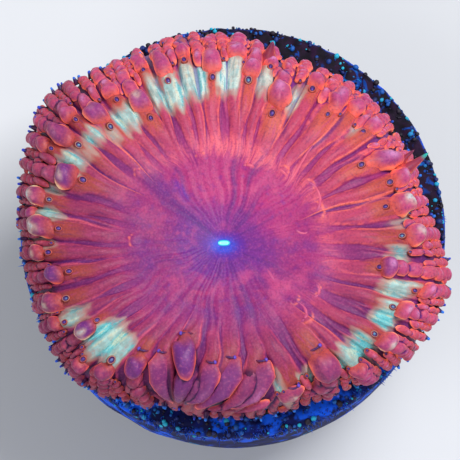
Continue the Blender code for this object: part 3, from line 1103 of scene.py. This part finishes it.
# Painted edge glow: orange round each vesicle's rim, cream on pale ones.
edge = lay("#dc5c50", ("#ff8666", on.rosy, 0.0, 0.7), ("#f0d8a8", on.pale, 0.0, 0.6))
shaded = lay("#300e44", ("#602078", on.rosy, 0.1, 0.9))
body = lay(
    lay("#883058", ("#b44276", on.rosy, 0.0, 0.9)),
    (lay("#943448", ("#cc5060", on.rosy, 0.0, 0.9)), on.warm, 0.0, 1.0),
    ("#c8506a", cloud, 0.48, 0.70, 0.5),
    ("#682c7c", on.violet, 0.0, 1.0, 0.88),
    ("#b44c38", on.inward, 0.15, 0.90, 0.74),
    # The painted lilac highlight on the crown.
    ("#d488c0", on.gleam, 0.05, 0.8, 0.78),
    ("#c4a494", on.pale, 0.10, 0.45, 0.65),
    ("#c4dce0", on.pale, 0.35, 0.85, 0.85),
    (lay("#ac4048", ("#fa6e60", on.rosy, 0.0, 0.8)), on.ember, 0.30, 0.85, 0.76),
    (edge, on.limb, 0.66, 0.90),
    ("#682462", grain, 0.50, 0.70, 0.42),
    ("#d8708c", grain, 0.46, 0.30, 0.22),
    (shaded, on.limb, 0.98, 1.20, 0.75),
    (shaded, on.crease, 0.1, 0.9, 0.95),
)
# The painted edge glow is emitted too, except in the creases.
glow = lay("#000000", (edge, on.limb, 0.45, 0.90), ("#000000", on.crease, 0.0, 0.5))
feed("Base Color", body)
feed("Emission Color", glow)
feed("Normal", add_node(tree, "Bump", {"Height": grain, "Strength": 0.55, "Distance": 0.05 * MM}))

for name, leading, polar, sides, uneven in (
    ("leading_vesicles", 1.0, LEAD_POLAR, 24, 0.10),
    ("trailing_vesicles", 0.0, BEAD_POLAR, 11, 0.09),
):
    chosen = lobes["leading"] == leading
    some = lobes[chosen]
    each = some[:, None, None]
    x, y, bearing, way, height, rings = lobe_surface(some, polar, circle(sides))
    middle = flesh(each["bearing"], each["way"])
    rings = rings + (rings - middle) * (uneven * ripple(rings, 0.8 * MM, 32))[..., None]
    slope = np.degrees(polar)[:, None]

    # The painted glow at the edge fades over a front fold's far side, and over a vesicle's inner
    # end.
    draped = (np.abs(each["bow"]) > 0.5) * leading
    other_side = ease(-y * np.sign(each["roll"]), 0.0, 0.7)
    behind = np.clip(-x, 0, 1) * leading * (1 - 0.5 * draped)
    rosy = rosiness_and_light(bearing, rings)
    # On the vesicles the painted-lighter side is pushed further, for stronger painted contrast.
    rosy = np.clip(rosy * (1 + 0.6 * rosy), 0, 1)
    limb = slope / 90 * (1 - 0.4 * draped * other_side) * (1 - 0.35 * (1 - leading) * (1 - rosy))

    # A painted lilac highlight lies on the crown. A pale spot, a little patchy, lies on the outer
    # side
    # and brightens along the outer rim: partly green pigment, partly painted highlight.
    lilac_highlight = np.exp(-((x - 0.25) ** 2) / 0.16 - (y - 0.2) ** 2 / 0.25)
    lilac_highlight = lilac_highlight * rng.uniform(0.1, 1.0, len(some))[:, None, None]
    pale_spot_and_highlight = np.exp(-((x - 0.35) ** 2) / 0.28 - (y - 0.15) ** 2 / 0.36)
    pale_spot_and_highlight = pale_spot_and_highlight * (0.55 + 0.45 * ease(ripple(rings, 0.5 * MM, 31), -0.5, 0.5))
    pale_spot_and_highlight = np.maximum(pale_spot_and_highlight, (0.25 + 0.6 * ease(slope, 50, 84)) * ease(x, -0.3, 0.4))
    vesicles = build(
        name,
        rings,
        vesicle_finish,
        root=lobe_surface(some, BOTTOM_POLAR, circle(sides))[-1][:, 0].mean(axis=1),
        tip=lobe_surface(some, np.zeros(1), np.zeros(1))[-1][:, 0, 0],
        limb=limb * (1 - 0.5 * ease(behind, 0.1, 0.9)),
        ember=limb * (0.45 + 0.5 * rosy),
        inward=behind,
        warm=each["warm"],
        pale=each["pale"] * pale_spot_and_highlight,
        violet=each["violet"] * ease(slope, 88, 35),
        crease=crease(nearest[chosen], bearing, way, height) * (1 - 0.6 * behind),
        rosy=rosy,
        gleam=lilac_highlight * (0.25 + 0.75 * rosy),
    )
    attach(vesicles, "root")

# Painted shade on the flesh itself, in a window around each vesicle.
press = np.zeros_like(shares)
for lobe in lobes:
    row_near = np.abs(ways - lobe["way"]) < 1.6 * lobe["half_way"]
    wide = 2.2 * math.degrees(lobe["half_width"] / reach(lobe["bearing"]))
    wide += abs(lobe["slant"]) + abs(lobe["bow"])
    window = np.ix_(row_near, np.abs(aside_of(columns, lobe["bearing"])) < wide)
    x, y, _ = lobe_frame(lobe, bearings[window], steps[window], 0.0)
    close = 1 - np.clip((np.hypot(x, y) - 0.9) / 0.40, 0, 1)
    close = close * (1 - 0.8 * lobe["leading"] * ease(-x, 0.1, 0.9))
    press[window] = np.maximum(press[window], close)
poles = [press[end].mean(keepdims=True) for end in (0, -1)]
pressed_shade = np.concatenate([press.ravel(), *poles])
polyp.data.attributes.new("press", "FLOAT", "POINT").data.foreach_set("value", pressed_shade)

# ---- The tentacles ----
# One in front of each leading vesicle. Most are drawn in to a small cup with a swollen lip; those
# at the front lie across their fold as a dark stalk with a blue tip.

CUP_RADIUS = 0.175 * MM
CUP_SET_BACK = 0.02 * MM
CUP_LIFT = 0.19 * MM
CUP_STRETCH = 1.3
SMALL_CUP_RADIUS = CUP_RADIUS * 0.55
SMALL_CUP_LIFT = 0.12 * MM
SMALL_CUP_CHANCE = 0.55
STALK_SECTOR = (229, 313)

# The cup's outline, from its foot over the lip and in to its core: radius and height as shares of
# the cup's own radius, and where it stands in its run of colours.
CUP_PROFILE = (
    (1.30, -0.9, 0.0), (1.16, -0.2, 0.1), (1.04, 0.30, 0.25), (1.0, 0.62, 0.42), (0.90, 0.80, 0.5),
    (0.78, 0.72, 0.6), (0.68, 0.42, 0.72), (0.50, 0.28, 0.8), (0.28, 0.46, 0.9),
)

extended = (leads["inner"] > STALK_SECTOR[0]) & (leads["inner"] < STALK_SECTOR[1])
cup_values = [
    (
        lead["inner"], lead["start"] - CUP_SET_BACK / reach(lead["inner"]),
        CUP_RADIUS * rng.uniform(0.78, 1.18), lead["lip"], CUP_LIFT,
    )
    for lead in leads[~extended]
]
for row in rows:
    if not row["main"] and rng.random() < SMALL_CUP_CHANCE:
        bearing, share = 0.5 * (row["inner"] + row["outer"]), row["start"] - 0.008
        lip = rng.uniform(0, 0.3)
        cup_values.append((bearing, share, SMALL_CUP_RADIUS, lip, SMALL_CUP_LIFT))
cups = records("bearing share radius lip lift", cup_values)
way = way_at(cups["share"])
up = outward(cups["bearing"], way)
inward = unit(flesh(cups["bearing"], way - 0.003) - flesh(cups["bearing"], way + 0.003))
axis = unit(up + inward * rng.uniform(0.25, 0.65, (len(cups), 1)))
front = unit(inward - axis * (inward * axis).sum(1, keepdims=True))
side = np.cross(axis, front)
turn = circle(12)[:, None]
plan = front[:, None, None] * np.cos(turn) * CUP_STRETCH + side[:, None, None] * np.sin(turn)
span, rise, stage = np.array(CUP_PROFILE).T
cup_at = flesh(cups["bearing"], way) + up * cups["lift"][:, None]
size = cups["radius"][:, None]

# The tentacle's own tissue: amber outside, a bright or pale lip, dark violet inside, pale core.
tentacle_finish, tree, on = start_finish(
    "tentacle_tissue", {"Roughness": 0.35, "IOR": TISSUE_IOR}, "rise", "lip"
)
tint = lay(
    "#96443c",
    (lay("#c4584c", ("#b48070", on.lip, 0.4, 1.0)), on.rise, 0.34, 0.48),
    ("#46205c", on.rise, 0.50, 0.64),
    (lay("#6444b8", ("#58b0d0", on.lip, 0.6, 1.0)), on.rise, 0.84, 0.95),
)
feed("Base Color", tint)

tentacles = build(
    "tentacle_cups",
    cup_at[:, None, None]
    + plan * (size * span)[..., None, None]
    + axis[:, None, None] * (size * rise)[..., None, None],
    tentacle_finish,
    root=cup_at - axis * (1.1 * size),
    tip=cup_at + axis * (0.5 * size),
    rise=stage[:, None],
    lip=cups["lip"][:, None, None],
)
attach(tentacles, "root")

# A stalk crosses its fold in a low arch, away from the middle of the front, and ends in a ball: how
# far along each ring stands, its radius as a share of STALK_RADIUS, and its place in the colours.
STALK_RADIUS = 0.062 * MM
STALK_PROFILE = (
    (0.0, 0.8, 0.58), (0.2, 1.0, 0.60), (0.4, 1.1, 0.62), (0.58, 1.0, 0.66), (0.70, 0.9, 0.75),
    (0.78, 1.15, 0.82), (0.86, 1.8, 1.0), (0.94, 2.0, 1.0), (1.0, 1.6, 1.0),
)
CLEFT = 252
lead = leads[extended][:, None]
along, swell, stage = np.array(STALK_PROFILE).T
way = way_at(lead["start"]) + 0.001
to_tip = np.where(lead["inner"] < CLEFT, -1, 1)
half = np.degrees(0.24 * lead["width"] * MM / (lead["start"] * reach(lead["inner"])))
bearing = lead["inner"] + to_tip * half * (2 * along - 1)
height = (0.02 + 0.26 * np.sin(math.pi * (0.05 + 0.75 * along))) * MM
way = way + rng.uniform(-0.008, 0.008, way.shape) * (along - 0.5) + 0.004 * np.sin(math.pi * along)
path = flesh(bearing, way) + outward(bearing, way) * height[:, None]
stalks = build(
    "tentacle_stalks",
    tubes(path, STALK_RADIUS * swell, UP, 10),
    tentacle_finish,
    root=path[:, 0],
    tip=path[:, -1] * 2 - path[:, -2] * 0.5 - path[:, -1] * 0.5,
    rise=stage[:, None],
    lip=0.35,
)
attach(stalks, "root")

# ---- The membrane edges ----
# Thin films of flesh lie over the disc, where tentacles of an inner ring were drawn in. Their free
# edges are thicker than the film, so they stand out as rosy lines.

MEMBRANE_RADIUS = 0.120 * MM
MEMBRANE_SINK = 0.088 * MM

# Each edge's path: bearings, and distances from the mouth in mm.
MEMBRANES = (
    ((47.6, 47.5, 46.0, 43.6, 40.5), (8.0, 7.2, 6.3, 5.2, 4.0)),
    ((78.0, 74.0, 70.0, 66.0), (4.50, 4.70, 4.72, 4.55)),
    ((55.0, 52.0, 48.0, 43.5), (5.10, 5.35, 5.30, 5.10)),
    ((38.0, 33.0, 27.0, 21.0, 16.0), (5.80, 6.20, 6.15, 5.90, 5.20)),
    ((12.0, 8.5, 7.0, 10.0), (4.10, 4.35, 4.70, 4.95)),
    ((331.0, 326.0, 322.0), (2.70, 3.20, 3.85)),
    ((321.5, 322.5, 320.0, 316.0, 313.0), (5.00, 5.70, 6.20, 6.35, 6.05)),
    ((337.0, 335.0, 331.0, 328.0), (5.60, 6.00, 6.10, 5.80)),
)
knots = np.linspace(0, 1, 22)
lines = np.array(
    [[np.interp(knots, np.linspace(0, 1, len(line)), line) for line in pair] for pair in MEMBRANES]
)
lines[:, 1] *= MM
for _ in range(4):
    lines[..., 1:-1] = (lines[..., :-2] + lines[..., 2:]) / 2
bearing, distance = lines[:, 0], lines[:, 1]
way = way_at(distance / reach(bearing))
path = flesh(bearing, way)
row_of = np.rint(np.interp(way, ways[::-1], np.arange(len(ways))[::-1])).astype(int)
column_of = np.rint(bearing / 360 * SKIN_COLUMNS).astype(int) % SKIN_COLUMNS
lift = depth[row_of, column_of] - MEMBRANE_SINK + 0.012 * MM * ripple(path, 0.9 * MM, 41)
path += outward(bearing, way) * lift[..., None]
taper = 0.35 + 0.65 * np.sin(math.pi * np.clip(knots, 0.02, 0.98)) ** 0.6

# The same tissue, rolled up thick: smooth, rosier in the middle of each edge.
film_finish, tree, on = start_finish(
    "membrane_edge", {"Roughness": 0.45, "IOR": TISSUE_IOR}, "rosy", "along"
)
# The edge is rosier and lighter where the flesh under it is painted lighter.
tint = lay("#ac4280", ("#d85c78", on.rosy, 0.1, 0.9))
feed("Base Color", lay("#983878", (tint, on.along, 0.2, 1.0)))

edges = build(
    "membrane_edges",
    tubes(path, MEMBRANE_RADIUS * taper, np.array((0.1, 0.0, 1.0)), 7),
    film_finish,
    root=path[:, 0],
    tip=path[:, -1],
    rosy=rosiness_and_light(bearing, path)[..., None],
    along=np.sin(math.pi * knots)[:, None],
)
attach(edges, "root")

# ---- The mouth ----
# A narrow slit between two low lips at the centre of the disc. Its lining is packed with green
# fluorescent pigment, and emission paints a glow on it.

SLIT_HALF = (0.30 * MM, 0.125 * MM)
LIP_RISE = 0.10 * MM

# The lips' outline, from outside in to the slit's floor: size and height as shares of the slit's
# half width and LIP_RISE, and how far inside it is.
MOUTH_PROFILE = (
    (2.60, -1.2, 0.0), (2.10, -0.1, 0.05), (1.70, 0.5, 0.15), (1.38, 0.9, 0.3), (1.12, 0.95, 0.45),
    (0.92, 0.6, 0.6), (0.70, 0.42, 0.75), (0.45, 0.36, 0.9), (0.20, 0.40, 1.0),
)
span, rise, inside = np.array(MOUTH_PROFILE).T[..., None]
long, short = squared(circle(36), 0.8)
grow = SLIT_HALF[1] * (span - 1)
shrink = np.clip(span, 0, 1)
long = (SLIT_HALF[0] + grow) * long * shrink ** 0.5
short = (SLIT_HALF[1] + grow) * short * shrink
mouth_at = skin[-1].mean(axis=0) + UP * (0.04 * MM)

# Its lining is wet and smooth, with a painted glow from emission; two pale painted highlights lie
# at the ends of the slit.
mouth_finish, tree, on = start_finish(
    "mouth_lining", {"Roughness": 0.3, "Emission Strength": 0.45}, "inside", "ends"
)
tint = lay(
    "#4a50cc",
    ("#2e70d0", on.inside, 0.05, 0.30),
    ("#22bcc8", on.inside, 0.30, 0.48),
    ("#78f0c8", on.inside, 0.48, 0.66),
    ("#ccf6e2", on.ends, 0.35, 0.9),
)
feed("Base Color", tint)
feed("Emission Color", lay("#000000", (tint, on.inside, 0.4, 0.75)))

mouth = build(
    "mouth_slit",
    np.stack(np.broadcast_arrays(long, short, LIP_RISE * rise), -1)[None] + mouth_at,
    mouth_finish,
    root=[mouth_at - UP * (0.2 * MM)],
    tip=[mouth_at + UP * (0.4 * LIP_RISE)],
    inside=inside,
    ends=ease(inside, 0.55, 0.75) * (np.abs(long) / SLIT_HALF[0]) ** 1.5,
)
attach(mouth, "root")

# ---- The papillae and spikes ----
# Small pointed cones of flesh under the rim, dark with a bright blue tip. Larger spikes of flesh
# stand out of the rim, one at the back and two at the right.

PAPILLA_RADIUS = 0.15 * MM

# Each tier: its way, its height in mm, its spacing in degrees, and its first and last bearing. All
# are shorter between two bearings at the back.
TIERS = (
    (0.765, 0.46, 6.0, 0, 360), (0.80, 0.38, 6.0, 0, 360), (0.85, 0.33, 7.0, 0, 360),
    (0.75, 0.44, 3.8, 96, 250),
)
LOW_BACK = (50, 125)
papillae = []
for tier, (way, height, spacing, *sector) in enumerate(TIERS):
    for bearing in np.arange(*sector, spacing):
        bearing += spacing * (0.5 * tier + rng.uniform(-0.35, 0.35))
        tall = height * rng.uniform(0.7, 1.15)
        tall *= 0.6 if LOW_BACK[0] < bearing < LOW_BACK[1] else 1.0
        papillae.append((bearing, way + rng.uniform(-0.02, 0.02), tall))
bearing, way, tall = np.array(papillae).T
foot = flesh(bearing, way)
up = outward(bearing, way)
tall = tall[:, None]
grow = unit(up + UP * rng.uniform(0.0, 0.4, tall.shape) + rng.normal(0, 0.14, up.shape))
along = np.array([-0.25, 0.0, 0.3, 0.6, 0.82, 0.94])
path = foot[:, None] + grow[:, None] * (along * tall * MM)[..., None]
radius = PAPILLA_RADIUS * np.array([1.5, 1.2, 0.88, 0.62, 0.5, 0.4])
radius = radius * rng.uniform(0.8, 1.2, tall.shape)

# The same tissue, full of dark pigment, with a fluorescent blue tip.
papilla_finish, tree, on = start_finish(
    "papilla_tissue", {"Roughness": 0.4, "IOR": TISSUE_IOR}, "rise", "glow"
)
tip_tint = lay("#2438c0", ("#1f78e8", on.glow, 0.2, 0.8))
tint = lay("#54204e", ("#2c1450", on.rise, 0.1, 0.55), (tip_tint, on.rise, 0.55, 0.85))
feed("Base Color", tint)

papilla_piece = build(
    "papillae",
    tubes(path, radius, np.array((0.1, 0.2, 1.0)), 7),
    papilla_finish,
    root=path[:, 0],
    tip=foot + grow * tall * MM,
    rise=along.clip(0)[:, None],
    glow=rng.uniform(0, 1, (len(papillae), 1, 1)),
)
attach(papilla_piece, "root")

# Each spike: the bearing and share of the reach where it stands, how far it points sideways, out
# and up in mm, and its radius near the foot in mm.
SPIKES = (
    (76.5, 0.945, 0.1, 0.95, 1.15, 0.52),
    (21.5, 0.945, -0.40, 1.85, 0.75, 0.42),
    (24.5, 0.950, -0.20, 1.15, 0.80, 0.30),
)
SPIKE_SAG = 0.35 * MM
SPIKE_SIDES = 20
bearing, share, aside, out, rise, radius = np.array(SPIKES).T[..., None]
foot = flesh(bearing[:, 0], way_at(share[:, 0]))
spin = heading(np.radians(bearing[:, 0]))
run_to = -np.cross(UP, spin) * aside + spin * out + UP * rise
along = np.array([-0.35, -0.1, 0.15, 0.35, 0.55, 0.75, 0.9])
path = foot[:, None] + run_to[:, None] * along[:, None] * MM
path[..., 2] += SPIKE_SAG * (along * (along - 1)).clip(-1, 0)
radius = radius * np.array([1.5, 1.25, 1.0, 0.74, 0.52, 0.34, 0.20]) * MM

# The same tissue again, rough with pigment: maroon above and teal at one tip, and orange below and
# along its sides, partly a painted edge glow like the vesicles'.
spike_finish, tree, on = start_finish(
    "pointed_polyp_tissue", {"Roughness": 0.4, "IOR": TISSUE_IOR}, "rise", "middle", "teal"
)
place = add_node(tree, "TexCoord", {}, "Object")
grain = add_node(tree, "TexNoise", {"Vector": place, "Scale": 5000.0, "Detail": 2.0})
tint = lay(
    "#c44650",
    ("#e06450", on.middle, 0.5, 0.1),
    ("#802c4a", on.middle, 0.30, 0.80, 0.75),
    ("#5c2450", on.rise, 0.60, 0.95, 0.8),
    ("#7a2c50", grain, 0.46, 0.66, 0.6),
)
teal = lay(tint, ("#1fa8a0", on.rise, 0.72, 0.90))
feed("Base Color", lay(tint, (teal, on.teal, 0.4, 0.6)))

spike_piece = build(
    "rim_spikes",
    tubes(path, radius, UP, SPIKE_SIDES),
    spike_finish,
    root=path[:, 0],
    tip=foot + run_to * MM,
    rise=along.clip(0)[:, None],
    middle=np.clip(np.cos(circle(SPIKE_SIDES)), 0, 1) * ease(along, 0.0, 0.4)[:, None],
    teal=np.array([0.0, 1.0, 0.0])[:, None, None],
)
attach(spike_piece, "root")

# ---- Floor, light and camera ----
# A plain pale floor under soft, even light, seen from high above the front.

FLOOR = 0.6
floor_mesh = bpy.data.meshes.new("floor")
corners = [(-FLOOR, -FLOOR, 0), (FLOOR, -FLOOR, 0), (FLOOR, FLOOR, 0), (-FLOOR, FLOOR, 0)]
floor_mesh.from_pydata(corners, [], [(0, 1, 2, 3)])
paper, _, _ = start_finish("pale_paper", {"Base Color": linear("#d4d6da"), "Roughness": 0.9})
floor_mesh.materials.append(paper)
floor = set_down("floor", floor_mesh)

world = bpy.data.worlds.new("soft_room")
world.use_nodes = True
world.node_tree.nodes["Background"].inputs["Color"].default_value = linear("#e8ecf4")
world.node_tree.nodes["Background"].inputs["Strength"].default_value = 0.40
scene.world = world
for name, stand, width, power in (
    ("key_panel", (0.13, 0.07, 0.34), 0.16, 1.25),
    ("fill_panel", (-0.16, -0.18, 0.28), 0.2, 0.4),
):
    lamp = bpy.data.lights.new(name, "AREA")
    lamp.size, lamp.energy = width, power
    panel = set_down(name, lamp)
    panel.location = stand
    aim = Vector((0, 0, DISC_TOP)) - Vector(stand)
    panel.rotation_euler = aim.to_track_quat("-Z", "Y").to_euler()

scene.view_settings.view_transform = "Standard"

ELEVATION = math.radians(75)
DISTANCE = 255 * MM
optics = bpy.data.cameras.new("camera")
optics.sensor_width = 36
optics.lens = 333
optics.clip_start = 0.01
camera = set_down("camera", optics)
aim = np.array([-0.15 * MM, 1.427 * MM, STEM_LENGTH + 0.357 * MM])
back = np.array([0, -math.cos(ELEVATION), math.sin(ELEVATION)])
camera.location = aim + back * DISTANCE
camera.rotation_euler = (math.pi / 2 - ELEVATION, 0, 0)
scene.camera = camera
